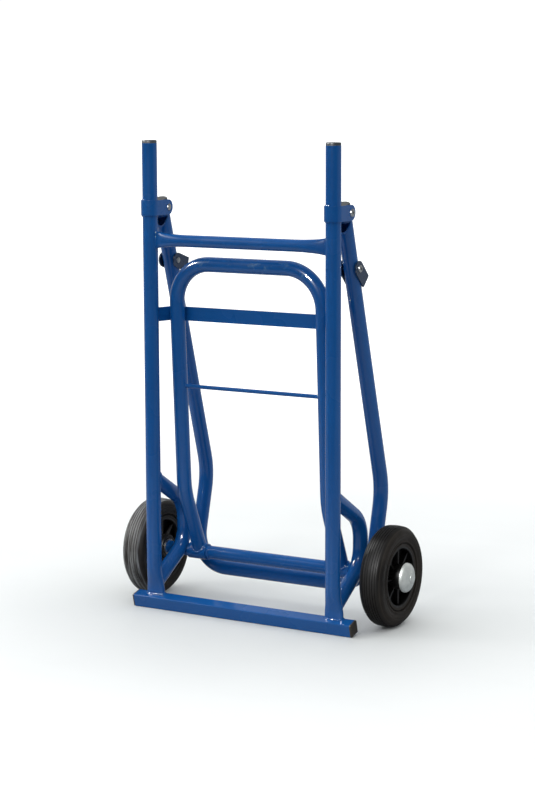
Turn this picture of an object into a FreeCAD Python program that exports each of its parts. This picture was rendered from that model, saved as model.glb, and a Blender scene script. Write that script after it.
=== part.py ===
"""Convertible hand truck with a folding toe loop and a folding handle.

Millimetres. +Z is up and +Y points from the front bar towards the wheels' side.
The origin is on the floor under the middle of the parked truck's outline.
The truck is drawn parked: toe loop folded up, handle folded down behind.
Depths below are measured from the uprights' axes, and every piece moves to the origin when it is saved.
"""
import math
import os

import FreeCAD
import Part

V = FreeCAD.Vector
ORIGIN = V(0, 0, 0)
X_AXIS = V(1, 0, 0)
Y_AXIS = V(0, 1, 0)
Z_AXIS = V(0, 0, 1)
SIDES = {"left": -1, "right": 1}

# From the uprights' axes back to the middle of the parked truck's outline
origin_y = 99.2

# Tube stock
tube_r = 15.0
tube_wall = 2.0
tube_bore_r = tube_r - tube_wall
seam_step = 0.1

# Uprights
upright_x = 206.0
upright_top = 940.0
# Pressed foot: height, half width, half depth, rear face
press_sections = (
    (95.0, 15.0, 15.0, 15.0),
    (76.0, 15.5, 14.0, 14.9),
    (58.0, 17.4, 10.4, 14.0),
    (44.0, 19.4, 7.2, 12.4),
    (35.0, 20.0, 6.1, 11.5),
    (18.0, 20.0, 6.1, 11.5),
)

# Front bar: square tube standing on its lower front edge
bar_side = 26.5
bar_wall = 2.0
bar_corner_r = 2.5
bar_tilt = 14.66
bar_edge_y = -7.55
bar_half = 248.5
bar_plug_head = 4.0
bar_plug_bevel = 1.5
bar_plug_depth = 18.0

# Upper cross tube with pressed ends
cross_z = 750.0
cross_r = 12.0
cross_wall = 1.5
# Pressed ends: distance out, half height, half depth; evenly spaced so that the loft stays smooth
cross_sections = (
    (120.0, 12.0, 12.0),
    (130.0, 12.1, 11.9),
    (140.0, 12.3, 11.5),
    (150.0, 12.7, 10.8),
    (160.0, 13.2, 10.0),
    (170.0, 13.9, 8.9),
    (180.0, 15.0, 7.0),
    (190.0, 16.7, 4.4),
    (200.0, 18.0, 3.2),
)

# Flat crossbar, set back behind the toe loop
strap_z = 600.0
strap_height = 28.0
strap_thick = 5.0
strap_back_y = 53.3
strap_bend_x = 187.0
strap_end_x = 202.0
strap_end_y = 8.0
strap_bend_r = 9.0

# Handle pivot brackets
pivot_y = 40.0
pivot_z = 813.0
bracket_height = 30.0
bracket_thick = 3.0

# Bolts
bolt_r = 4.0
bolt_head_r = 6.8
pivot_head_r = 7.6
bolt_head_h = 3.6
socket_across = 5.0
socket_depth = 2.0
pivot_nut_r = 6.4
pivot_nut_h = 2.4
latch_nut_r = 5.6
latch_nut_h = 1.8
shank_proud = 0.6
running_gap = 0.05

# Handle
kink_y = 206.3
kink_z = 251.0
kink_r = 130.0
grip_y = 156.0
grip_z = 60.0
grip_corner_r = 75.0
handle_end = 12.5
notch_low = 41.0
notch_high = 17.0
notch_depth = 13.0

# Latches on the handle legs
latch_distance = 113.0
latch_half = 15.0
latch_reach = 38.5
latch_thick = 3.0
latch_gap = 0.5
latch_pin_r = 1.5
latch_pin_reach = 36.9
latch_pin_drop = 0.8
latch_corner_r = 2.5
latch_angle = {"left": -18.0, "right": -45.0}

# Plugs in the open tube ends
upright_plug_spigot = 20.0
handle_plug_spigot = 7.5
upright_plug_r = 14.7
upright_plug_head = 6.0
handle_plug_head = 5.0
plug_round = 2.2

# Axle
axle_y = 113.9
axle_z = 100.0
axle_tube_r = 13.45
axle_tube_end = 243.0
axle_r = 10.0
axle_end = 313.0
washer_r = 17.0
washer_thick = 2.0

# Wheel brackets
c_upper_z = 202.0
c_lower_z = 116.0
c_slope = 0.604
c_start_y = 4.0
c_bend_r = 62.0

# Wheels
wheel_centre = 275.0
wheel_r = 100.0
tyre_half = 25.0
tyre_seat_r = 60.0
rim_half = 21.0
rim_ring_r = 56.4
rim_web_half = 4.0
rim_hub_r = 25.0
rim_ribs = 8
rib_thick = 4.0
rib_inset = 6.0
bush_r = 14.0
hub_half = 30.0
# Tyre side wall from the rim out: distance from the middle plane, radius, corner rounding
tyre_wall = (
    (21.0, 60.0, 0.0),
    (22.0, 65.0, 1.0),
    (19.6, 66.2, 0.6),
    (19.6, 67.6, 0.6),
    (23.2, 69.0, 0.8),
    (23.4, 71.2, 1.0),
    (22.4, 73.2, 3.0),
    (25.0, 80.0, 9.0),
    (25.0, 89.0, 8.0),
    (15.5, 98.6, 8.0),
)
tyre_crown_r = 60.0
groove_width = 1.6
groove_depth = 1.6
groove_centres = (-13.0, -8.0, -3.0, 3.0, 8.0, 13.0)

# Hub caps
cap_r = 29.3
cap_start = 305.8
cap_shoulder = 311.5
cap_top = 321.5
cap_disc_r = 9.5
cap_wall = 1.2
cap_step = 1.2

# Toe loop
toe_x = 166.0
toe_knee_y = 53.8
toe_knee_z = 237.0
toe_knee_r = 150.0
toe_top_y = 29.3
toe_top_z = 703.0
toe_corner_r = 78.0
sleeve_r = 16.5
sleeve_gap = 0.08
sleeve_inner_x = 148.0
sleeve_outer_x = 190.0
toe_rod_y = 42.3
toe_rod_z = 455.4
toe_rod_r = 4.0


def rounded_wire(points, radii, closed=False):
    """Wire through the points, with an arc of the given radius at each inner corner."""
    count = len(points)
    edges = []
    ends = []
    for i, point in enumerate(points):
        radius = radii[i]
        if radius == 0 or (not closed and i in (0, count - 1)):
            ends.append((point, point))
            continue
        before = (points[i - 1] - point).normalize()
        after = (points[(i + 1) % count] - point).normalize()
        half = before.getAngle(after) / 2
        reach = radius / math.tan(half)
        centre = point + (before + after).normalize() * (radius / math.sin(half))
        middle = centre + (point - centre).normalize() * radius
        start = point + before * reach
        finish = point + after * reach
        ends.append((start, finish))
        edges.append((i, Part.Arc(start, middle, finish).toShape()))
    arcs = dict(edges)
    ordered = []
    last = count if closed else count - 1
    for i in range(count):
        if i in arcs:
            ordered.append(arcs[i])
        if i < last:
            start = ends[i][1]
            finish = ends[(i + 1) % count][0]
            if start.distanceToPoint(finish) > 1e-6:
                ordered.append(Part.LineSegment(start, finish).toShape())
    return Part.Wire(ordered)


def swept(wire, profile):
    """Solid made by carrying a closed profile along a wire."""
    return wire.makePipeShell([profile], True, False)


def round_bar(wire, radius):
    """Solid round bar that follows a wire."""
    edge = wire.OrderedEdges[0]
    start = edge.valueAt(edge.FirstParameter)
    direction = edge.tangentAt(edge.FirstParameter)
    if wire.OrderedVertexes[0].Point.distanceToPoint(start) > 1e-6:
        start = edge.valueAt(edge.LastParameter)
        direction = edge.tangentAt(edge.LastParameter) * -1
    profile = Part.Wire(Part.makeCircle(radius, start, direction))
    return swept(wire, profile)


def cylinder(radius, start, finish):
    """Round bar between two points."""
    axis = finish - start
    return Part.makeCylinder(radius, axis.Length, start, axis)


def x_cylinder(radius, x_start, x_finish, y, z):
    """Round bar along X."""
    return cylinder(radius, V(x_start, y, z), V(x_finish, y, z))


def mirrored(shape):
    """Copy on the other side of the centre plane."""
    return shape.mirror(ORIGIN, X_AXIS)


def both_sides(shape):
    """The shape and its mirror image."""
    return [shape, mirrored(shape)]


def sided(shape, side):
    """Right-hand shape, or its mirror image for the left side."""
    return shape if side == "right" else mirrored(shape)


def x_revolved(points, radii):
    """Turn a closed (x, radius) outline about the axle line."""
    outline = [V(x, r, 0) for x, r in points]
    face = Part.Face(rounded_wire(outline, radii, closed=True))
    solid = face.revolve(ORIGIN, X_AXIS, 360)
    solid.translate(V(0, axle_y, axle_z))
    return solid


def x_ring(x_start, x_finish, inner_r, outer_r, inner_round, outer_round):
    """Ring about the axle line, with its inner and outer corners rounded."""
    points = [(x_start, inner_r), (x_finish, inner_r), (x_finish, outer_r), (x_start, outer_r)]
    return x_revolved(points, [inner_round, inner_round, outer_round, outer_round])


def oval(centre, long_axis, short_axis, half_long, half_short, count=24):
    """Smooth closed outline of a pressed tube: a circle drawn out along its long axis."""
    stretch = half_long - half_short
    points = []
    for i in range(count):
        angle = 2 * math.pi * i / count
        c = math.cos(angle)
        spread = c * (15 - 10 * c ** 2 + 3 * c ** 4) / 8
        along = half_short * c + stretch * spread
        points.append(centre + long_axis * along + short_axis * (half_short * math.sin(angle)))
    curve = Part.BSplineCurve()
    curve.interpolate(points, PeriodicFlag=True)
    return Part.Wire(curve.toShape())


def pressed_end(sections, long_axis, short_axis):
    """Pressed length of tube through (centre, half long side, half short side) sections."""
    shells = []
    for inset, step in ((0, seam_step), (1, -seam_step)):
        outlines = []
        for i, (centre, half_long, half_short, wall) in enumerate(sections):
            shrink = inset * wall + (step if i == 0 else 0)
            outlines.append(oval(centre, long_axis, short_axis, half_long - shrink, half_short - shrink))
        shells.append(Part.makeLoft(outlines, True, False))
    return shells


def upright_solids():
    """Right upright's outside as a solid bar, and the tube itself, its foot pressed from the front."""
    start = V(upright_x, 0, press_sections[0][0])
    top = V(upright_x, 0, upright_top)
    sections = []
    for z, half_x, half_y, rear in press_sections:
        sections.append((V(upright_x, rear - half_y, z), half_x, half_y, tube_wall))
    foot, hollow = pressed_end(sections, X_AXIS, Y_AXIS)
    shaft = cylinder(tube_r, start, top)
    tube = shaft.cut(cylinder(tube_bore_r, start, top)).fuse(foot.cut(hollow))
    return shaft.fuse(foot), tube


def bar_profile(x, inset):
    """Tilted rounded square of the front bar."""
    tilt = math.radians(bar_tilt)
    up = V(0, -math.sin(tilt), math.cos(tilt))
    back = V(0, math.cos(tilt), math.sin(tilt))
    start = V(x, bar_edge_y, 0) + up * inset + back * inset
    side = bar_side - 2 * inset
    corners = [start, start + back * side, start + back * side + up * side, start + up * side]
    radius = max(bar_corner_r - inset, 0.5)
    return rounded_wire(corners, [radius] * len(corners), closed=True)


def bar_solid(x_start, x_finish, inset):
    """Length of the front bar's section, lowered so that its rounded edge meets the floor."""
    solid = Part.Face(bar_profile(x_start, inset)).extrude(V(x_finish - x_start, 0, 0))
    full = Part.Face(bar_profile(0, 0))
    solid.translate(V(0, 0, -full.BoundBox.ZMin))
    return solid


def leg_frame():
    """Unit vectors down the handle leg and square to it, towards the rear."""
    down = (V(0, kink_y, kink_z) - V(0, pivot_y, pivot_z)).normalize()
    rear = V(0, -down.z, down.y)
    return down, rear


def handle_path():
    """Centre line of the handle tube, from the right end round to the left end."""
    down, rear = leg_frame()
    end = V(upright_x, pivot_y, pivot_z) - down * handle_end
    half = [end, V(upright_x, kink_y, kink_z), V(upright_x, grip_y, grip_z)]
    other = [V(-p.x, p.y, p.z) for p in reversed(half)]
    radii = [0, kink_r, grip_corner_r, grip_corner_r, kink_r, 0]
    return rounded_wire(half + other, radii)


def toe_path():
    """Centre line of the toe loop, from the right sleeve round to the left sleeve."""
    half = [V(toe_x, axle_y, axle_z), V(toe_x, toe_knee_y, toe_knee_z), V(toe_x, toe_top_y, toe_top_z)]
    other = [V(-p.x, p.y, p.z) for p in reversed(half)]
    radii = [0, toe_knee_r, toe_corner_r, toe_corner_r, toe_knee_r, 0]
    return rounded_wire(half + other, radii)


def plug(radius, head, spigot_length, direction, seat):
    """Tube plug with a rounded head; direction points out of the tube's mouth."""
    body = Part.makeCylinder(radius, head)
    rim = [e for e in body.Edges if abs(e.BoundBox.ZMin - head) < 1e-6]
    body = body.makeFillet(plug_round, rim)
    spigot = Part.makeCylinder(tube_bore_r, spigot_length, V(0, 0, -spigot_length))
    solid = body.fuse(spigot).removeSplitter()
    solid.Placement = FreeCAD.Placement(seat, FreeCAD.Rotation(Z_AXIS, direction))
    return solid


def hexagon(x, across, y, z):
    """Six-sided face square to X."""
    corner = across / math.sqrt(3)
    points = []
    for i in range(6):
        angle = math.pi * i / 3
        points.append(V(x, y + corner * math.cos(angle), z + corner * math.sin(angle)))
    return Part.Face(Part.makePolygon(points + points[:1]))


def round_head(radius, x_seat, height, y, z):
    """Disc on an X seat, its far edge rounded; a negative height points towards -X."""
    outer = x_seat + height
    head = x_cylinder(radius, x_seat, outer, y, z)
    rim = [e for e in head.Edges if e.Closed and abs(e.valueAt(0).x - outer) < 1e-6]
    return head.makeFillet(abs(height) * 0.6, rim)


def bolt(x_head, x_end, y, z, head_r):
    """Round-headed socket bolt along X, its head outside x_head."""
    shank = x_cylinder(bolt_r, x_end, x_head, y, z)
    solid = shank.fuse(round_head(head_r, x_head, bolt_head_h, y, z)).removeSplitter()
    bottom = x_head + bolt_head_h - socket_depth
    return solid.cut(hexagon(bottom, socket_across, y, z).extrude(V(bolt_head_h, 0, 0)))


def round_nut(x_seat, radius, height, y, z):
    """Low round nut whose seat faces +X."""
    disc = round_head(radius, x_seat, -height, y, z)
    return disc.cut(x_cylinder(bolt_r, x_seat - 2 * height, x_seat + height, y, z))


def make_uprights():
    """Two tubes, open at the top and pressed thin where they stand on the bar."""
    bar = bar_solid(-bar_half, bar_half, 0)
    outside, right = upright_solids()
    right = right.cut(bar)
    return {"left_upright": [mirrored(right)], "right_upright": [right]}, outside


def make_front_bar():
    """Square tube across the front, with its two end plugs."""
    tube = bar_solid(-bar_half, bar_half, 0).cut(bar_solid(-bar_half, bar_half, bar_wall))
    outer = bar_half + bar_plug_head
    full = bar_solid(bar_half, outer - bar_plug_bevel, 0.2)
    near = bar_profile(outer - bar_plug_bevel, 0.2)
    far = bar_profile(outer, 0.2 + bar_plug_bevel)
    bevel = Part.makeLoft([near, far], True, True)
    bevel.translate(V(0, 0, -Part.Face(bar_profile(0, 0)).BoundBox.ZMin))
    spigot = bar_solid(bar_half - bar_plug_depth, bar_half, bar_wall)
    cap = full.fuse(bevel).fuse(spigot).removeSplitter()
    return {"front_bar": [tube], "front_bar_plugs": both_sides(cap)}


def make_cross_tube(upright_outside):
    """Upper cross tube, its ends pressed tall and thin and saddled onto both uprights."""
    start = cross_sections[0][0]
    sections = []
    for x, half_z, half_y in cross_sections:
        sections.append((V(x, 0, cross_z), half_z, half_y, cross_wall))
    end, hollow = pressed_end(sections, Z_AXIS, Y_AXIS)
    middle = x_cylinder(cross_r, 0, start, 0, cross_z)
    middle = middle.cut(x_cylinder(cross_r - cross_wall, 0, start, 0, cross_z))
    half = middle.fuse(end.cut(hollow)).cut(upright_outside)
    return {"upper_cross_tube": [half.fuse(mirrored(half)).removeSplitter()]}


def make_strap(upright_outside):
    """Flat crossbar, joggled back so that the folded toe loop lies in front of it."""
    z = strap_z - strap_height / 2
    points = [
        V(strap_end_x, strap_end_y, z),
        V(strap_bend_x, strap_back_y, z),
        V(-strap_bend_x, strap_back_y, z),
        V(-strap_end_x, strap_end_y, z),
    ]
    path = rounded_wire(points, [0, strap_bend_r, strap_bend_r, 0])
    along = (points[1] - points[0]).normalize()
    across = V(-along.y, along.x, 0) * (strap_thick / 2)
    rise = V(0, 0, strap_height)
    start = points[0]
    corners = [start - across, start + across, start + across + rise, start - across + rise]
    solid = swept(path, Part.makePolygon(corners + corners[:1]))
    solid = solid.cut(upright_outside).cut(mirrored(upright_outside))
    return {"strap_crossbar": [max(solid.Solids, key=lambda s: s.Volume)]}


def make_handle_brackets():
    """Strap folded round each upright, with two ears for the handle's pivot bolt."""
    outer_r = tube_r + bracket_thick
    low = pivot_z - bracket_height / 2
    depth = pivot_y + bracket_height
    outside = Part.makeCylinder(outer_r, bracket_height, V(upright_x, 0, low))
    outside = outside.fuse(Part.makeBox(2 * outer_r, depth, bracket_height, V(upright_x - outer_r, 0, low)))
    inside = Part.makeCylinder(tube_r, bracket_height, V(upright_x, 0, low))
    inside = inside.fuse(Part.makeBox(2 * tube_r, depth, bracket_height, V(upright_x - tube_r, 0, low)))
    ends = x_cylinder(bracket_height / 2, upright_x - outer_r, upright_x + outer_r, pivot_y, pivot_z)
    corner = V(upright_x - outer_r, -outer_r, low)
    front = Part.makeBox(2 * outer_r, pivot_y + outer_r, bracket_height, corner)
    strap = outside.cut(inside).common(ends.fuse(front))
    hole = x_cylinder(bolt_r, upright_x - 2 * outer_r, upright_x + 2 * outer_r, pivot_y, pivot_z)
    right = strap.cut(hole).removeSplitter()
    return {"left_handle_bracket": [mirrored(right)], "right_handle_bracket": [right]}


def make_wheel_brackets(upright_outside):
    """C-shaped tube behind each upright, notched for the axle tube."""
    run = axle_y - c_start_y
    points = [
        V(upright_x, c_start_y, c_upper_z + run * c_slope),
        V(upright_x, axle_y, c_upper_z),
        V(upright_x, axle_y, c_lower_z),
        V(upright_x, c_start_y, c_lower_z - run * c_slope),
    ]
    path = rounded_wire(points, [0, c_bend_r, c_bend_r, 0])
    axle = x_cylinder(axle_tube_r, upright_x - 2 * tube_r, upright_x + 2 * tube_r, axle_y, axle_z)
    tube = round_bar(path, tube_r).cut(round_bar(path, tube_bore_r))
    tube = tube.cut(upright_outside).cut(axle)
    right = max(tube.Solids, key=lambda s: s.Volume)
    return {"left_wheel_bracket": [mirrored(right)], "right_wheel_bracket": [right]}


def make_axle():
    """Axle tube, the rod inside it, thrust washers and hub caps."""
    tube = x_cylinder(axle_tube_r, -axle_tube_end, axle_tube_end, axle_y, axle_z)
    rod = x_cylinder(axle_r, -axle_end, axle_end, axle_y, axle_z)
    washer_x = axle_tube_end
    washer = x_cylinder(washer_r, washer_x, washer_x + washer_thick, axle_y, axle_z).cut(rod)
    inner_top = cap_top - cap_step - cap_wall
    shell = [
        (cap_start, cap_r - cap_wall),
        (cap_start, cap_r),
        (cap_shoulder, cap_r),
        (cap_top - cap_step, cap_disc_r + 3.0),
        (cap_top - cap_step, cap_disc_r),
        (cap_top, cap_disc_r),
        (cap_top, 0),
        (inner_top, 0),
        (inner_top, cap_disc_r + 2.4),
        (cap_shoulder, cap_r - cap_wall),
    ]
    cap = x_revolved(shell, [0, 0, 9.0, 0, 0, 0.6, 0, 0, 0, 8.0])
    collar = x_cylinder(axle_r + 3.0, cap_start + 1.0, inner_top, axle_y, axle_z)
    cap = cap.fuse(collar.cut(rod)).removeSplitter()
    return {
        "axle_tube": [tube.cut(rod)],
        "axle_rod": [rod],
        "axle_washers": both_sides(washer),
        "hub_caps": both_sides(cap),
    }


def make_wheels():
    """Solid rubber tyre, ribbed plastic rim and steel bush for each wheel."""
    c = wheel_centre
    tyre_points = [(c + x, r) for x, r, _ in tyre_wall] + [(c, wheel_r)]
    tyre_points += [(c - x, r) for x, r, _ in reversed(tyre_wall)]
    tyre_radii = [radius for _, _, radius in tyre_wall]
    tyre = x_revolved(tyre_points, tyre_radii + [tyre_crown_r] + tyre_radii[::-1])
    for offset in groove_centres:
        low = c + offset - groove_width / 2
        high = c + offset + groove_width / 2
        bottom = wheel_r - groove_depth - abs(offset) * 0.09
        tyre = tyre.cut(x_ring(low, high, bottom, wheel_r + 5, 0, 0))
    ring = x_ring(c - rim_half, c + rim_half, rim_ring_r, tyre_seat_r, 1.5, 0)
    web = x_ring(c - rim_web_half, c + rim_web_half, bush_r, rim_ring_r + 2, 0, 0)
    hub = x_ring(c - hub_half, c + hub_half, bush_r, rim_hub_r, 0, 2.0)
    rim = ring.fuse([web, hub])
    rib_width = 2 * (rim_half - rib_inset)
    rib_length = rim_ring_r - rim_hub_r + 2
    ribs = []
    for i in range(rim_ribs):
        corner = V(c - rib_width / 2, -rib_thick / 2, rim_hub_r - 1)
        rib = Part.makeBox(rib_width, rib_thick, rib_length, corner)
        rib.rotate(ORIGIN, X_AXIS, 360.0 * i / rim_ribs)
        rib.translate(V(0, axle_y, axle_z))
        ribs.append(rib)
    rim = rim.fuse(ribs).removeSplitter()
    bush = x_cylinder(bush_r, c - hub_half, c + hub_half, axle_y, axle_z)
    bush = bush.cut(x_cylinder(axle_r + running_gap, c - hub_half - 1, c + hub_half + 1, axle_y, axle_z))
    nodes = {}
    for side in SIDES:
        nodes[side + "_tyre"] = [sided(tyre, side)]
        nodes[side + "_rim"] = [sided(rim, side)]
        nodes[side + "_hub_bush"] = [sided(bush, side)]
    return nodes


def make_handle():
    """Bent handle tube with its plugs, pivot bolts, latch bolts and nuts."""
    down, rear = leg_frame()
    path = handle_path()
    tube = round_bar(path, tube_r).cut(round_bar(path, tube_bore_r))
    pivot = V(upright_x, pivot_y, pivot_z)
    latch_at = pivot + down * latch_distance
    for x in (-upright_x, upright_x):
        hole_r = bolt_r + running_gap
        tube = tube.cut(x_cylinder(hole_r, x - 2 * tube_r, x + 2 * tube_r, pivot_y, pivot_z))
        tube = tube.cut(x_cylinder(bolt_r, x - 2 * tube_r, x + 2 * tube_r, latch_at.y, latch_at.z))
        front = V(x - tube_r - 1, pivot_y, pivot_z) - rear * (tube_r + 1)
        corners = [
            front + down * notch_low,
            front + down * notch_high,
            front + down * notch_high + rear * notch_depth,
        ]
        wedge = Part.Face(Part.makePolygon(corners + corners[:1])).extrude(V(2 * tube_r + 2, 0, 0))
        tube = tube.cut(wedge)
    end_plug = plug(tube_r, handle_plug_head, handle_plug_spigot, down * -1, pivot - down * handle_end)
    ear = upright_x + tube_r + bracket_thick
    inner_ear = upright_x - tube_r - bracket_thick
    pivot_bolt = bolt(ear, inner_ear - pivot_nut_h - shank_proud, pivot_y, pivot_z, pivot_head_r)
    pivot_nut = round_nut(inner_ear, pivot_nut_r, pivot_nut_h, pivot_y, pivot_z)
    plate_out = upright_x + tube_r + latch_gap + latch_thick
    plate_in = upright_x - tube_r - latch_gap - latch_thick
    latch_end = plate_in - latch_nut_h - shank_proud
    latch_bolt = bolt(plate_out + running_gap, latch_end, latch_at.y, latch_at.z, bolt_head_r)
    latch_nut = round_nut(plate_in - running_gap, latch_nut_r, latch_nut_h, latch_at.y, latch_at.z)
    return {
        "handle_tube": [tube],
        "handle_plugs": both_sides(end_plug),
        "pivot_bolts": both_sides(pivot_bolt),
        "pivot_nuts": both_sides(pivot_nut),
        "latch_bolts": both_sides(latch_bolt),
        "latch_nuts": both_sides(latch_nut),
    }


def make_latches():
    """Two-plate latch on each handle leg, tied by a pin near its free end."""
    down, _ = leg_frame()
    centre = V(0, pivot_y, pivot_z) + down * latch_distance
    inner = tube_r + latch_gap
    outline = [
        V(0, 0, -latch_half),
        V(0, latch_reach, -latch_half),
        V(0, latch_reach, latch_half),
        V(0, 0, latch_half),
    ]
    profile = Part.Face(rounded_wire(outline, [0, latch_corner_r, latch_corner_r, 0], closed=True))
    eye = Part.makeCylinder(latch_half, latch_thick, ORIGIN, X_AXIS)
    hole = Part.makeCylinder(bolt_r + running_gap, latch_thick, ORIGIN, X_AXIS)
    blade = profile.extrude(V(latch_thick, 0, 0)).fuse(eye).cut(hole).removeSplitter()
    near = blade.translated(V(inner, 0, 0))
    far = blade.translated(V(-inner - latch_thick, 0, 0))
    middle = inner + latch_thick / 2
    pin = x_cylinder(latch_pin_r, -middle, middle, latch_pin_reach, -latch_pin_drop)
    latch = near.fuse([far, pin]).removeSplitter()
    nodes = {}
    for side, sign in SIDES.items():
        shape = latch.copy()
        shape.rotate(ORIGIN, X_AXIS, latch_angle[side])
        shape.translate(centre + V(sign * upright_x, 0, 0))
        nodes[side + "_latch"] = [shape]
    return nodes


def make_toe_frame():
    """Toe loop, the sleeves it turns on, and the rod between its legs."""
    path = toe_path()
    outside = round_bar(path, tube_r)
    sleeve = x_cylinder(sleeve_r, sleeve_inner_x, sleeve_outer_x, axle_y, axle_z)
    full = x_cylinder(sleeve_r, -sleeve_outer_x, sleeve_outer_x, axle_y, axle_z)
    bore = x_cylinder(axle_tube_r + sleeve_gap, sleeve_inner_x - 1, sleeve_outer_x + 1, axle_y, axle_z)
    loop = outside.cut(round_bar(path, tube_bore_r)).cut(full)
    loop = max(loop.Solids, key=lambda s: s.Volume)
    rod = x_cylinder(toe_rod_r, -toe_x, toe_x, toe_rod_y, toe_rod_z).cut(outside)
    rod = max(rod.Solids, key=lambda s: s.Volume)
    return {"toe_loop": [loop], "toe_sleeves": both_sides(sleeve.cut(bore)), "toe_rod": [rod]}


def make_upright_plugs():
    """Plugs in the tops of the uprights."""
    seat = V(upright_x, 0, upright_top)
    right = plug(upright_plug_r, upright_plug_head, upright_plug_spigot, Z_AXIS, seat)
    return {"upright_plugs": both_sides(right)}


def save(name, solids):
    """Write one node about the truck's origin; more than one solid goes in as a group."""
    placed = [solid.translated(V(0, -origin_y, 0)) for solid in solids]
    shape = placed[0] if len(placed) == 1 else Part.makeCompound(placed)
    shape.exportStep("parts/" + name + ".step")


def main():
    """Build every node and write it."""
    os.makedirs("parts", exist_ok=True)
    nodes, upright_outside = make_uprights()
    nodes.update(make_front_bar())
    nodes.update(make_upright_plugs())
    nodes.update(make_cross_tube(upright_outside))
    nodes.update(make_strap(upright_outside))
    nodes.update(make_handle_brackets())
    nodes.update(make_wheel_brackets(upright_outside))
    nodes.update(make_axle())
    nodes.update(make_wheels())
    nodes.update(make_handle())
    nodes.update(make_latches())
    nodes.update(make_toe_frame())
    for name, solids in nodes.items():
        save(name, solids)


main()
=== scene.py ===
import math

import bmesh
import bpy
from mathutils import Matrix, Vector, noise
from mathutils.bvhtree import BVHTree


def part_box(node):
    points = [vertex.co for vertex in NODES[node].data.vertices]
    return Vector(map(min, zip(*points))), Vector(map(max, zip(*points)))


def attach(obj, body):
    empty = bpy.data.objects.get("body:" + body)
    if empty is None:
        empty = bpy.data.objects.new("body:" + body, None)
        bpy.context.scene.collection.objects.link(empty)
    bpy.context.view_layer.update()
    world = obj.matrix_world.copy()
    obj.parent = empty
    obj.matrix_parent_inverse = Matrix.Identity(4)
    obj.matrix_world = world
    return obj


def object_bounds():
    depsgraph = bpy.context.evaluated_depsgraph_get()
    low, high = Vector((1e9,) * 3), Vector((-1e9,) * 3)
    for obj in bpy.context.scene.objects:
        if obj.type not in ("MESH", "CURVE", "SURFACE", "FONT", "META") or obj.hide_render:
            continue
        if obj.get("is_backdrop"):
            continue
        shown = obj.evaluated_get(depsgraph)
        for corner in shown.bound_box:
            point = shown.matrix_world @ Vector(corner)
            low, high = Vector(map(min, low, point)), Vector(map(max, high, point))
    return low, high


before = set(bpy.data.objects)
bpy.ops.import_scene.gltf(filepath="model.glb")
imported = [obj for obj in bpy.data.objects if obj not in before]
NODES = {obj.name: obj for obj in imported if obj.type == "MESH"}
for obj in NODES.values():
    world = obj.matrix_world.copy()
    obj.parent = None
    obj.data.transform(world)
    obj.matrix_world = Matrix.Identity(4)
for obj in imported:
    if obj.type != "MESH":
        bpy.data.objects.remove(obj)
cad_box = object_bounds()

MM = 0.001

# Camera: where it stands, how it looks, its field of view
camera_place = Vector((2.0353, -3.4809, 1.0546))
camera_azimuth = math.radians(30.272)
camera_elevation = math.radians(8.803)
camera_roll = math.radians(-0.194)
camera_lens = 91.93
sensor_width = 36
far_clip = 200

# Lamps: azimuth, elevation, distance, size, power, whether only reflections see it
lamps = {
    "key_lamp": (5, 29, 3.2, 0.38, 9, False),
    "left_lamp": (-64, 32, 3.2, 0.38, 9, False),
    "key_glint": (7, 30, 3.2, 0.55, 240, True),
    "left_glint": (-65, 33, 3.2, 0.60, 290, True),
}

# Soft light: the side it comes from, and its strength away from and towards that side
soft_side = (-0.30, 0.25, 0.92)
soft_low = 0.16
soft_high = 1.34
# Painted shade: where the darker floor copy seen in bounce and reflections turns darkest, towards the front
reflection_dim_front = -1.6

# Floor: half its width, how far it lies under the wheels, where the painted shade round the truck ends and
# where the far floor starts and finishes fading to white
floor_half = 30.0
floor_gap = 0.05 * MM
shade_from, shade_to, shade_depth = 0.22, 0.80, 0.55
fade_from, fade_to, fade_depth = 0.8, 3.0, 0.55

# Room: white level behind the truck, and how reflections dim along Y, Z and X: from, to, level, level
room_white = 1.05
mirror_y = (-0.6, 0.6, 0.05, 0.72)
mirror_z = (0.25, 0.8, 1.0, 0.60)
mirror_x = (-0.3, 0.75, 1.0, 0.30)

# Scuffs: how far under the toe loop's top they start and are full
scuff_start = 0.060
scuff_full = 0.020

# Weld beads: spacing of sections, ripple length, seed spacing, radius at each joint
bead_step = 0.7 * MM
bead_ripple = 2.4 * MM
bead_seed_gap = 7.3
bead_r = {
    "foot": 2.4 * MM,
    "cross": 1.4 * MM,
    "strap": 2.2 * MM,
    "bracket": 2.4 * MM,
    "axle": 1.9 * MM,
    "tack": 2.6 * MM,
    "stop": 2.3 * MM,
    "sleeve": 2.0 * MM,
    "rod": 1.1 * MM,
}
tack_offset = 0.005
tack_half = 0.006

# Stop beads: distance from the sleeve, first angle, angle covered, steps
stop_gap = 4.5 * MM
stop_start = 40
stop_sweep = 150
stop_steps = 40


# Rays the edge wear takes to find an edge
bevel_samples = 4


# ---------------------------------------------------------------- node graphs


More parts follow.
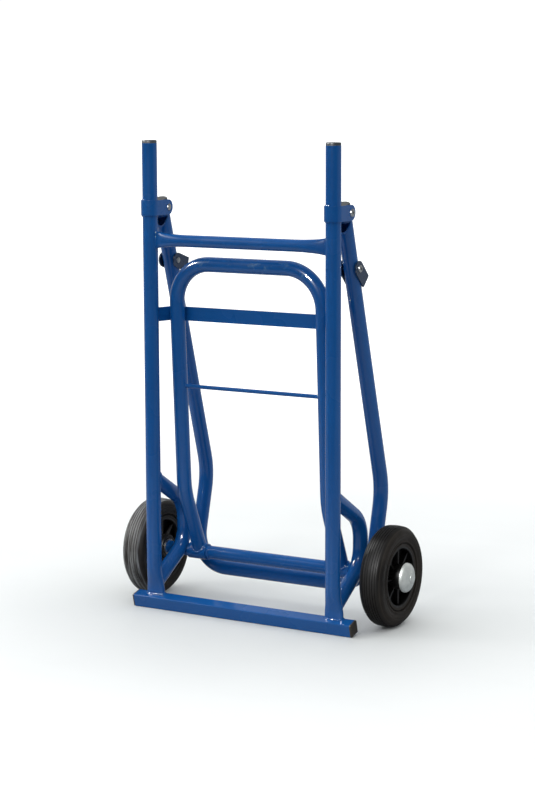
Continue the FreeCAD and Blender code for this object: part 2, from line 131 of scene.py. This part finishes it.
class Graph:
    """A material's node tree, with short calls for the nodes used here."""

    def __init__(self, name):
        self.material = bpy.data.materials.new(name)
        self.material.use_nodes = True
        self.tree = self.material.node_tree
        self.tree.nodes.clear()
        self.coords = self.node("ShaderNodeTexCoord").outputs["Object"]

    def node(self, kind, inputs=None, **settings):
        made = self.tree.nodes.new(kind)
        for key, value in settings.items():
            setattr(made, key, value)
        for key, value in (inputs or {}).items():
            self.feed(made.inputs[key], value)
        return made

    def feed(self, socket, value):
        if isinstance(value, bpy.types.NodeSocket):
            self.tree.links.new(value, socket)
        else:
            socket.default_value = value

    def maths(self, operation, a, b=0.0):
        made = self.node("ShaderNodeMath", {0: a, 1: b}, operation=operation)
        return made.outputs[0]

    def vector(self, operation, a, b=(0, 0, 0)):
        made = self.node("ShaderNodeVectorMath", {0: a, 1: b}, operation=operation)
        return made.outputs["Value" if operation in ("LENGTH", "DOT_PRODUCT") else "Vector"]

    def noise(self, scale, detail=2.0, rough=0.5, vector=None, w=None):
        inputs = {"Vector": vector or self.coords, "Scale": scale, "Detail": detail, "Roughness": rough}
        if w is not None:
            inputs["W"] = w
        made = self.node("ShaderNodeTexNoise", inputs, noise_dimensions="3D" if w is None else "4D")
        return made.outputs["Fac"]

    def ramp(self, value, low, high, to_low=0.0, to_high=1.0):
        inputs = {"Value": value, "From Min": low, "From Max": high, "To Min": to_low, "To Max": to_high}
        made = self.node("ShaderNodeMapRange", inputs, interpolation_type="SMOOTHSTEP")
        return made.outputs["Result"]

    def blend(self, factor, a, b):
        made = self.node("ShaderNodeMix", data_type="RGBA")
        self.feed(made.inputs["Factor"], factor)
        self.feed(made.inputs[6], a)
        self.feed(made.inputs[7], b)
        return made.outputs[2]

    def edges(self, radius):
        """1 on sharp outer edges, 0 on flats."""
        bevel = self.node("ShaderNodeBevel", {"Radius": radius}, samples=bevel_samples).outputs["Normal"]
        plain = self.node("ShaderNodeNewGeometry").outputs["Normal"]
        return self.ramp(self.vector("DOT_PRODUCT", bevel, plain), 0.995, 0.86)

    def bump(self, height, distance, strength=1.0, normal=None):
        inputs = {"Height": height, "Distance": distance, "Strength": strength}
        if normal is not None:
            inputs["Normal"] = normal
        return self.node("ShaderNodeBump", inputs).outputs["Normal"]

    def finish(self, **inputs):
        shader = self.node("ShaderNodeBsdfPrincipled")
        for key, value in inputs.items():
            self.feed(shader.inputs[key.replace("_", " ")], value)
        output = self.node("ShaderNodeOutputMaterial")
        self.tree.links.new(shader.outputs[0], output.inputs["Surface"])
        return self.material


def paint_material(name, deep, light, scuffs=0.0, wear=0.5):
    """Gloss stove enamel: orange peel, slow colour drift, thin spots on edges, light scuffs."""
    g = Graph(name)
    drift = g.ramp(g.noise(5.0, 3.0), 0.3, 0.7)
    colour = g.blend(drift, deep, light)
    mottle = g.ramp(g.noise(420.0, 2.0), 0.35, 0.65)
    colour = g.blend(g.maths("MULTIPLY", mottle, 0.04), colour, (0.055, 0.17, 0.36, 1))
    edge = g.edges(1.1 * MM)
    broken = g.ramp(g.noise(160.0, 4.0, 0.65), 0.46, 0.60)
    thin = g.maths("MULTIPLY", edge, broken)
    colour = g.blend(g.maths("MULTIPLY", thin, wear), colour, (0.16, 0.28, 0.42, 1))
    chips = g.ramp(g.noise(310.0, 3.0, 0.6), 0.68, 0.71)
    chips = g.maths("MULTIPLY", chips, edge)
    colour = g.blend(g.maths("MULTIPLY", chips, wear), colour, (0.50, 0.52, 0.53, 1))
    stretched = g.vector("MULTIPLY", g.coords, (0.25, 1.0, 0.25))
    rub = g.ramp(g.noise(120.0, 5.0, 0.7, stretched), 0.56, 0.74)
    rub = g.maths("MULTIPLY", rub, scuffs)
    if scuffs:
        height = g.node("ShaderNodeSeparateXYZ", {"Vector": g.coords}).outputs["Z"]
        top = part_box("toe_loop")[1].z
        rub = g.maths("MULTIPLY", rub, g.ramp(height, top - scuff_start, top - scuff_full))
    colour = g.blend(rub, colour, (0.17, 0.33, 0.42, 1))
    rough = g.ramp(g.noise(9.0, 3.0), 0.3, 0.7, 0.20, 0.30)
    rough = g.maths("ADD", rough, g.maths("MULTIPLY", rub, 0.35))
    peel = g.bump(g.noise(330.0, 1.5), 0.00006, 0.55)
    peel = g.bump(g.noise(38.0, 2.0), 0.0003, 0.35, peel)
    return g.finish(
        Base_Color=colour, Roughness=rough, Normal=peel, Specular_IOR_Level=0.12,
        Coat_Weight=0.75, Coat_Roughness=0.06, Coat_IOR=1.5,
    )


def wheel_coords(g, node):
    """Distance from the wheel's mid-plane, distance from its axle, and two numbers that go round with it."""
    low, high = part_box(node)
    centre = (low + high) / 2
    local = g.vector("SUBTRACT", g.coords, tuple(centre))
    parts = g.node("ShaderNodeSeparateXYZ", {"Vector": local}).outputs
    across = parts["X"]
    around = g.vector("MULTIPLY", local, (0, 1, 1))
    radius = g.vector("LENGTH", around)
    cosine = g.maths("DIVIDE", parts["Y"], radius)
    sine = g.maths("DIVIDE", parts["Z"], radius)
    return across, radius, cosine, sine


def tyre_material(name, node, tread_greying):
    """Solid rubber: moulding rings on the walls, and a tread that the last argument turns from black to grey
    and streaked.
    """
    g = Graph(name)
    across, radius, cosine, sine = wheel_coords(g, node)
    spread = g.node("ShaderNodeCombineXYZ", {
        "X": g.maths("MULTIPLY", across, 300.0),
        "Y": g.maths("MULTIPLY", radius, 300.0),
        "Z": g.maths("MULTIPLY", cosine, 1.6),
    }).outputs[0]
    streak = g.noise(1.0, 3.0, 0.6, spread, g.maths("MULTIPLY", sine, 1.6))
    patch = g.noise(28.0, 4.0, 0.6)
    tread = g.ramp(radius, 0.0935, 0.0975)
    base = g.blend(g.ramp(patch, 0.3, 0.7), (0.0062, 0.0050, 0.0040, 1), (0.0120, 0.0098, 0.0078, 1))
    # The tread is black at a low last argument and grey and streaked at a high one; the left tyre gets the
    # grey tread.
    black_tread = g.maths("MULTIPLY", tread, 0.65 * (1 - tread_greying))
    grey_streaks = g.maths("MULTIPLY", g.ramp(streak, 0.34, 0.64), tread)
    grey_streaks = g.maths("MULTIPLY", grey_streaks, tread_greying)
    base = g.blend(grey_streaks, base, (0.36, 0.37, 0.37, 1))
    bloom = g.maths("MULTIPLY", g.ramp(g.noise(11.0, 3.0), 0.36, 0.66), 0.45)
    base = g.blend(bloom, base, (0.044, 0.033, 0.024, 1))
    mould = g.ramp(g.noise(1.0, 1.0, 0.5, spread), 0.60, 0.66)
    base = g.blend(g.maths("MULTIPLY", mould, 0.20), base, (0.050, 0.042, 0.035, 1))
    ring_at = g.node("ShaderNodeCombineXYZ", {
        "X": g.maths("MULTIPLY", across, 420.0),
        "Y": g.maths("MULTIPLY", radius, 420.0),
    }).outputs[0]
    line = g.ramp(g.noise(1.0, 2.0, 0.6, ring_at), 0.50, 0.66)
    line = g.maths("MULTIPLY", line, g.ramp(tread, 0.0, 1.0, 0.60, 0.12))
    base = g.blend(line, base, (0.048, 0.039, 0.030, 1))
    edge = g.maths("MULTIPLY", g.edges(1.0 * MM), 0.30)
    base = g.blend(edge, base, (0.050, 0.043, 0.037, 1))
    base = g.blend(black_tread, base, (0.0040, 0.0036, 0.0034, 1))
    rings = g.maths("SINE", g.maths("MULTIPLY", radius, 2 * math.pi / 0.0011))
    wall = g.maths("SUBTRACT", 1.0, tread)
    height = g.maths("MULTIPLY", rings, g.maths("MULTIPLY", wall, 0.35))
    height = g.maths("ADD", height, g.maths("MULTIPLY", streak, 1.6))
    normal = g.bump(height, 0.00022, 0.6)
    normal = g.bump(g.noise(700.0, 2.0), 0.00010, 0.5, normal)
    rough = g.ramp(patch, 0.3, 0.7, 0.46, 0.60)
    rough = g.maths("ADD", rough, g.maths("MULTIPLY", grey_streaks, 0.25))
    return g.finish(Base_Color=base, Roughness=rough, Normal=normal, Specular_IOR_Level=0.22)


def plastic_material(name, dark, light, rough_low, rough_high, grain, wear=0.5):
    """Moulded plastic: faint flow marks, spark-eroded grain, lighter rubbed edges."""
    g = Graph(name)
    flow = g.noise(45.0, 3.0, 0.6)
    base = g.blend(g.ramp(flow, 0.3, 0.7), dark, light)
    edge = g.maths("MULTIPLY", g.edges(0.8 * MM), wear)
    rubbed = tuple(min(c * 3 + 0.01, 1) for c in light[:3]) + (1,)
    base = g.blend(edge, base, rubbed)
    rough = g.ramp(flow, 0.3, 0.7, rough_low, rough_high)
    normal = g.bump(g.noise(grain, 2.0), 0.00008, 0.5)
    return g.finish(Base_Color=base, Roughness=rough, Normal=normal, Specular_IOR_Level=0.5)


def metal_material(name, low, high, rough_low, rough_high, centre=None, specks=0.35, metal=1.0):
    """Plated steel: cloudy plating, fine scratches, turned rings where a centre is given."""
    g = Graph(name)
    cloud = g.noise(90.0, 4.0, 0.6)
    base = g.blend(g.ramp(cloud, 0.3, 0.7), low, high)
    spots = g.ramp(g.noise(520.0, 2.0), 0.66, 0.72)
    base = g.blend(g.maths("MULTIPLY", spots, specks), base, (0.30, 0.29, 0.27, 1))
    rough = g.ramp(cloud, 0.3, 0.7, rough_low, rough_high)
    height = g.noise(900.0, 2.0)
    if centre is not None:
        local = g.vector("SUBTRACT", g.coords, centre)
        radius = g.vector("LENGTH", g.vector("MULTIPLY", local, (0, 1, 1)))
        turned = g.maths("SINE", g.maths("MULTIPLY", radius, 2 * math.pi / 0.0006))
        height = g.maths("ADD", height, g.maths("MULTIPLY", turned, 0.4))
    normal = g.bump(height, 0.00004, 0.45)
    return g.finish(Base_Color=base, Roughness=rough, Normal=normal, Metallic=metal)


def floor_material():
    """Pale studio floor, darkened round the truck as painted shade; bounce and reflection rays see a painted
    darker copy, so it lights the truck weakly and shows dimly in its paint.
    """
    g = Graph("floor_paper")
    tone = g.ramp(g.noise(0.9, 3.0), 0.35, 0.65)
    seen = g.blend(tone, (0.865, 0.885, 0.88, 1), (0.895, 0.91, 0.905, 1))
    # Painted shade: rays other than the camera's see a darker copy of the floor, darkest towards the front;
    # it shades the truck's undersides and darkens the front in its reflections.
    depth = g.node("ShaderNodeSeparateXYZ", {"Vector": g.coords}).outputs["Y"]
    toward_dim_front = g.ramp(depth, reflection_dim_front + 0.9, reflection_dim_front - 0.3)
    painted_dark_floor = g.blend(toward_dim_front, (0.36, 0.38, 0.40, 1), (0.09, 0.10, 0.11, 1))
    camera = g.node("ShaderNodeLightPath").outputs["Is Camera Ray"]
    base = g.blend(camera, painted_dark_floor, seen)
    streak = g.ramp(g.noise(7.0, 4.0, 0.6, g.vector("MULTIPLY", g.coords, (0.4, 1.6, 1.0))), 0.45, 0.75)
    base = g.blend(g.maths("MULTIPLY", streak, 0.10), base, (0.80, 0.815, 0.81, 1))
    normal = g.bump(g.noise(60.0, 2.0), 0.0002, 0.2)
    # Painted shadow: the camera sees the floor darkened round the truck.
    away = g.vector("LENGTH", g.coords)
    painted_shade_near_truck = g.maths("MULTIPLY", g.ramp(away, shade_from, shade_to, shade_depth, 0.0), camera)
    base = g.blend(painted_shade_near_truck, base, (0.66, 0.685, 0.68, 1))
    fade = g.maths("MULTIPLY", g.ramp(away, fade_from, fade_to, 0.0, fade_depth), camera)
    return g.finish(
        Base_Color=base, Roughness=0.55, Normal=normal, Specular_IOR_Level=0.15,
        Emission_Color=(1, 1, 1, 1), Emission_Strength=fade,
    )


def make_materials():
    """Every material by name."""
    blue = ((0.0030, 0.088, 0.325, 1), (0.0048, 0.099, 0.352, 1))
    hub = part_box("hub_caps")
    hub_centre = (0, (hub[0].y + hub[1].y) / 2, (hub[0].z + hub[1].z) / 2)
    return {
        "paint": paint_material("blue_enamel", *blue),
        "loop_paint": paint_material("blue_enamel_rubbed", *blue, scuffs=0.45),
        "dark_paint": paint_material("navy_enamel", (0.0035, 0.018, 0.055, 1), (0.0045, 0.026, 0.075, 1)),
        "left_tyre": tyre_material("rubber_grey_tread", "left_tyre", 0.95),
        "right_tyre": tyre_material("rubber", "right_tyre", 0.02),
        "rim": plastic_material("rim_plastic", (0.0024, 0.0022, 0.0019, 1), (0.0044, 0.0039, 0.0033, 1),
                                0.42, 0.56, 900.0, wear=0.06),
        "bar_plug": plastic_material(
            "bar_plug_plastic", (0.027, 0.0222, 0.0158, 1), (0.040, 0.0330, 0.0232, 1), 0.42, 0.56, 1100.0),
        "top_plug": plastic_material("top_plug_plastic", (0.053, 0.061, 0.069, 1), (0.084, 0.096, 0.108, 1),
                                     0.36, 0.48, 1100.0),
        "handle_plug": plastic_material("handle_plug_plastic", (0.050, 0.052, 0.051, 1),
                                        (0.088, 0.092, 0.090, 1), 0.34, 0.46, 1100.0),
        "zinc": metal_material("zinc", (0.40, 0.42, 0.44, 1), (0.55, 0.56, 0.55, 1), 0.24, 0.38),
        "cap": metal_material(
            "cap_zinc", (0.60, 0.63, 0.61, 1), (0.72, 0.75, 0.72, 1), 0.44, 0.54, hub_centre,
            specks=0.0, metal=0.35),
        "steel": metal_material(
            "steel", (0.42, 0.42, 0.41, 1), (0.55, 0.55, 0.54, 1), 0.26, 0.40, hub_centre),
        "floor": floor_material(),
    }


NODE_MATERIALS = {
    "toe_loop": "loop_paint",
    "left_latch": "dark_paint",
    "right_latch": "dark_paint",
    "front_bar_plugs": "bar_plug",
    "upright_plugs": "top_plug",
    "handle_plugs": "handle_plug",
    "left_tyre": "left_tyre",
    "right_tyre": "right_tyre",
    "left_rim": "rim",
    "right_rim": "rim",
    "left_hub_bush": "steel",
    "right_hub_bush": "steel",
    "axle_rod": "steel",
    "axle_washers": "zinc",
    "hub_caps": "cap",
    "pivot_bolts": "zinc",
    "pivot_nuts": "zinc",
    "latch_bolts": "zinc",
    "latch_nuts": "zinc",
}


def dress(obj, material):
    """Give an object one material."""
    obj.data.materials.clear()
    obj.data.materials.append(material)


# ---------------------------------------------------------------- weld beads


def merged(node):
    """A CAD node's mesh with its split vertices joined."""
    bm = bmesh.new()
    bm.from_mesh(NODES[node].data)
    bmesh.ops.remove_doubles(bm, verts=bm.verts, dist=0.01 * MM)
    return bm


def contact_loops(node, against, reach=0.25 * MM, crease=25):
    """Runs of the node's sharp edges that lie on another node's surface, longest first."""
    other = merged(against)
    tree = BVHTree.FromBMesh(other)
    bm = merged(node)
    touching = {v.index for v in bm.verts if tree.find_nearest(v.co, reach)[0] is not None}
    links = {}
    for e in bm.edges:
        a, b = e.verts
        if a.index not in touching or b.index not in touching or len(e.link_faces) != 2:
            continue
        if e.calc_face_angle(0) > math.radians(crease):
            links.setdefault(a.index, []).append(b.index)
            links.setdefault(b.index, []).append(a.index)
    places = {v.index: v.co.copy() for v in bm.verts if v.index in links}
    loops = []
    unused = set(links)
    while unused:
        ends = [i for i in unused if len(links[i]) == 1]
        here = min(ends) if ends else min(unused)
        run = [here]
        unused.discard(here)
        while True:
            following = [i for i in links[here] if i in unused]
            if not following:
                break
            here = following[0]
            run.append(here)
            unused.discard(here)
        closed = len(run) > 3 and run[0] in links[run[-1]]
        loops.append(([places[i] for i in run], closed))
    bm.free()
    other.free()
    return sorted(loops, key=lambda loop: -path_length(loop[0]))


def path_length(points):
    """Length of a run of points."""
    return sum((b - a).length for a, b in zip(points, points[1:]))


def resampled(points, closed, step):
    """Evenly spaced points along a run."""
    track = points + points[:1] if closed else list(points)
    total = path_length(track)
    count = max(4, round(total / step))
    made = []
    walked = 0.0
    k = 0
    for i in range(count if closed else count + 1):
        goal = total * i / count
        while k < len(track) - 2 and walked + (track[k + 1] - track[k]).length < goal:
            walked += (track[k + 1] - track[k]).length
            k += 1
        piece = track[k + 1] - track[k]
        share = (goal - walked) / max(piece.length, 1e-9)
        made.append(track[k] + piece * min(share, 1.0))
    return made


def bead_mesh(bm, points, closed, radius, seed, sides=10):
    """Rippled weld bead along a run of points."""
    track = resampled(points, closed, bead_step)
    count = len(track)
    rings = []
    side = None
    for i, place in enumerate(track):
        before = track[i - 1] if closed or i > 0 else track[i]
        after = track[(i + 1) % count] if closed or i < count - 1 else track[i]
        ahead = (after - before).normalized()
        if side is None:
            side = ahead.orthogonal().normalized()
        side = (side - ahead * side.dot(ahead)).normalized()
        up = ahead.cross(side)
        travelled = i * bead_step
        ripple = 1 + 0.09 * math.sin(2 * math.pi * travelled / bead_ripple)
        lump = 1 + 0.30 * noise.noise(place * 160 + Vector((seed, 0, 0)))
        taper = 1.0
        if not closed:
            taper = math.sqrt(max(0.0, 1 - (abs(2 * i / (count - 1) - 1)) ** 6))
        size = radius * ripple * lump * max(taper, 0.15)
        ring = []
        for k in range(sides):
            turn = 2 * math.pi * k / sides
            ring.append(bm.verts.new(place + (side * math.cos(turn) + up * math.sin(turn)) * size))
        rings.append(ring)
    last = count if closed else count - 1
    for i in range(last):
        a, b = rings[i], rings[(i + 1) % count]
        shift = 0
        if closed and i == count - 1:
            shift = min(range(sides), key=lambda s: (a[0].co - b[s].co).length)
        for k in range(sides):
            n = (k + 1) % sides
            bm.faces.new((a[k], a[n], b[(n + shift) % sides], b[(k + shift) % sides]))
    if not closed:
        bm.faces.new(list(reversed(rings[0])))
        bm.faces.new(rings[-1])


def finish_piece(bm, name, body, material):
    """Turn a bmesh into a smooth piece that rides on a body."""
    bmesh.ops.recalc_face_normals(bm, faces=bm.faces)
    mesh = bpy.data.meshes.new(name)
    bm.to_mesh(mesh)
    bm.free()
    mesh.shade_smooth()
    obj = bpy.data.objects.new(name, mesh)
    bpy.context.scene.collection.objects.link(obj)
    dress(obj, material)
    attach(obj, body)
    return obj


def weld(name, body, material, joint, radius, count=1, keep=None, **found):
    """Beads along the joint between two nodes, or along the stretch of it where keep(point) holds."""
    bm = bmesh.new()
    for number, (points, closed) in enumerate(contact_loops(*joint, **found)[:count]):
        if keep is not None:
            points, closed = longest_run(points, closed, keep), False
        if len(points) > 2:
            bead_mesh(bm, points, closed, radius, number * bead_seed_gap)
    return finish_piece(bm, name, body, material)


def longest_run(points, closed, keep):
    """Longest unbroken stretch of a run's points that pass a test."""
    track = resampled(points, closed, bead_step)
    if closed:
        first = next((i for i, p in enumerate(track) if not keep(p)), 0)
        track = track[first:] + track[:first]
    best, run = [], []
    for place in track:
        run = run + [place] if keep(place) else []
        best = max(best, run, key=len)
    return best


def sleeve_inner_end():
    """How far from the centre plane the toe sleeves start."""
    return min(abs(v.co.x) for v in NODES["toe_sleeves"].data.vertices)


def stop_bead(name, x, material):
    """Bead round the front of the axle tube that keeps a toe sleeve in its place."""
    low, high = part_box("axle_tube")
    middle = (low + high) / 2
    radius = (high.z - low.z) / 2
    points = []
    for step in range(stop_steps + 1):
        turn = math.radians(stop_start + stop_sweep * step / stop_steps)
        points.append(Vector((x, middle.y - radius * math.sin(turn), middle.z + radius * math.cos(turn))))
    bm = bmesh.new()
    bead_mesh(bm, points, False, bead_r["stop"], x * 100)
    return finish_piece(bm, name, "frame", material)


# ---------------------------------------------------------------- stage


def make_floor(material):
    """Wide pale floor under the wheels."""
    bm = bmesh.new()
    half = floor_half
    places = ((-half, -half), (half, -half), (half, half), (-half, half))
    corners = [bm.verts.new((x, y, 0)) for x, y in places]
    bm.faces.new(corners)
    mesh = bpy.data.meshes.new("floor")
    bm.to_mesh(mesh)
    bm.free()
    floor = bpy.data.objects.new("floor", mesh)
    floor.location.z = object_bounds()[0].z - floor_gap
    bpy.context.scene.collection.objects.link(floor)
    dress(floor, material)
    floor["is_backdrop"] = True


def direction(azimuth, elevation):
    """Unit vector towards an azimuth and elevation in degrees; azimuth 0 is the front."""
    a, e = math.radians(azimuth), math.radians(elevation)
    return Vector((math.sin(a) * math.cos(e), -math.cos(a) * math.cos(e), math.sin(e)))


def make_lights():
    """Two soft boxes to the front and left, and the bright spots they leave on curved paint."""
    low, high = cad_box
    middle = (low + high) / 2
    for name, (azimuth, elevation, distance, size, power, glint) in lamps.items():
        lamp = bpy.data.lights.new(name, "AREA")
        lamp.shape = "DISK"
        lamp.size = size
        lamp.energy = power
        obj = bpy.data.objects.new(name, lamp)
        towards = direction(azimuth, elevation)
        obj.location = middle + towards * distance
        obj.rotation_mode = "QUATERNION"
        obj.rotation_quaternion = towards.to_track_quat("Z", "Y")
        obj.visible_camera = False
        obj.visible_diffuse = not glint
        bpy.context.scene.collection.objects.link(obj)


def make_world():
    """White room: even for soft light, dull in front and overhead in reflections, white to the camera."""
    world = bpy.data.worlds.new("studio")
    bpy.context.scene.world = world
    world.cycles.sampling_method = "NONE"
    world.use_nodes = True
    tree = world.node_tree
    tree.nodes.clear()
    coords = tree.nodes.new("ShaderNodeTexCoord").outputs["Generated"]
    parts = tree.nodes.new("ShaderNodeSeparateXYZ")
    tree.links.new(coords, parts.inputs[0])

    def ramp(source, low, high, to_low, to_high):
        made = tree.nodes.new("ShaderNodeMapRange")
        made.interpolation_type = "SMOOTHSTEP"
        for key, value in (("From Min", low), ("From Max", high), ("To Min", to_low), ("To Max", to_high)):
            made.inputs[key].default_value = value
        tree.links.new(source, made.inputs["Value"])
        return made.outputs[0]

    def glow(colour, strength):
        made = tree.nodes.new("ShaderNodeBackground")
        made.inputs["Color"].default_value = colour
        if isinstance(strength, bpy.types.NodeSocket):
            tree.links.new(strength, made.inputs["Strength"])
        else:
            made.inputs["Strength"].default_value = strength
        return made.outputs[0]

    def pick(factor, a, b):
        made = tree.nodes.new("ShaderNodeMixShader")
        for i, socket in enumerate((factor, a, b)):
            tree.links.new(socket, made.inputs[i])
        return made.outputs[0]

    def product(a, b):
        made = tree.nodes.new("ShaderNodeMath")
        made.operation = "MULTIPLY"
        tree.links.new(a, made.inputs[0])
        tree.links.new(b, made.inputs[1])
        return made.outputs[0]

    level = product(
        ramp(parts.outputs["Y"], *mirror_y),
        ramp(parts.outputs["Z"], *mirror_z),
    )
    level = product(level, ramp(parts.outputs["X"], *mirror_x))
    towards = tree.nodes.new("ShaderNodeVectorMath")
    towards.operation = "DOT_PRODUCT"
    towards.inputs[1].default_value = soft_side
    tree.links.new(coords, towards.inputs[0])
    path = tree.nodes.new("ShaderNodeLightPath").outputs
    seen = glow((0.96, 0.98, 1.0, 1), level)
    even = glow((0.985, 0.995, 1.0, 1), ramp(towards.outputs["Value"], -0.6, 1.0, soft_low, soft_high))
    soft = pick(path["Is Diffuse Ray"], seen, even)
    sky = pick(path["Is Camera Ray"], soft, glow((1, 1, 1, 1), room_white))
    output = tree.nodes.new("ShaderNodeOutputWorld")
    tree.links.new(sky, output.inputs["Surface"])


def make_camera():
    """Camera at the angle the truck is shown from."""
    sa, ca = math.sin(camera_azimuth), math.cos(camera_azimuth)
    se, ce = math.sin(camera_elevation), math.cos(camera_elevation)
    back = Vector((sa * ce, -ca * ce, se))
    right = Vector((ca, sa, 0))
    up = back.cross(right)
    cr, sr = math.cos(camera_roll), math.sin(camera_roll)
    turned = right * cr + up * sr
    rise = up * cr - right * sr
    data = bpy.data.cameras.new("camera")
    data.lens = camera_lens
    data.sensor_width = sensor_width
    data.clip_end = far_clip
    obj = bpy.data.objects.new("camera", data)
    obj.matrix_world = Matrix.Translation(camera_place) @ Matrix((turned, rise, back)).transposed().to_4x4()
    bpy.context.scene.collection.objects.link(obj)
    bpy.context.scene.camera = obj


def main():
    bpy.context.scene.view_settings.view_transform = "Standard"
    materials = make_materials()
    for name, node in NODES.items():
        dress(node, materials[NODE_MATERIALS.get(name, "paint")])
    paint = materials["paint"]
    sleeves = sleeve_inner_end()
    for side in ("left", "right"):
        upright = side + "_upright"
        curve = side + "_wheel_bracket"
        strap = side + "_handle_bracket"
        centre = sum(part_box(upright), Vector()) / 2
        sign = math.copysign(1, centre.x)
        weld(side + "_foot_weld", "frame", paint, (upright, "front_bar"), bead_r["foot"])
        weld(side + "_cross_weld", "frame", paint, ("upper_cross_tube", upright), bead_r["cross"])
        weld(side + "_strap_weld", "frame", paint, ("strap_crossbar", upright), bead_r["strap"])
        weld(side + "_wheel_bracket_weld", "frame", paint, (curve, upright), bead_r["bracket"], 2,
             reach=0.5 * MM, crease=15)
        weld(side + "_axle_weld", "frame", paint, (curve, "axle_tube"), bead_r["axle"],
             keep=lambda p: p.x * sign > centre.x * sign)
        weld(side + "_strap_tack", "frame", paint, (strap, upright), bead_r["tack"], 2,
             keep=lambda p: abs(p.x - centre.x + tack_offset) < tack_half and p.y < centre.y)
        stop_bead(side + "_stop_bead", sign * (sleeves - stop_gap), paint)
    weld("sleeve_welds", "toe_frame", paint, ("toe_loop", "toe_sleeves"), bead_r["sleeve"], 2)
    weld("rod_welds", "toe_frame", paint, ("toe_rod", "toe_loop"), bead_r["rod"], 2)
    make_floor(materials["floor"])
    make_world()
    make_lights()
    make_camera()


main()
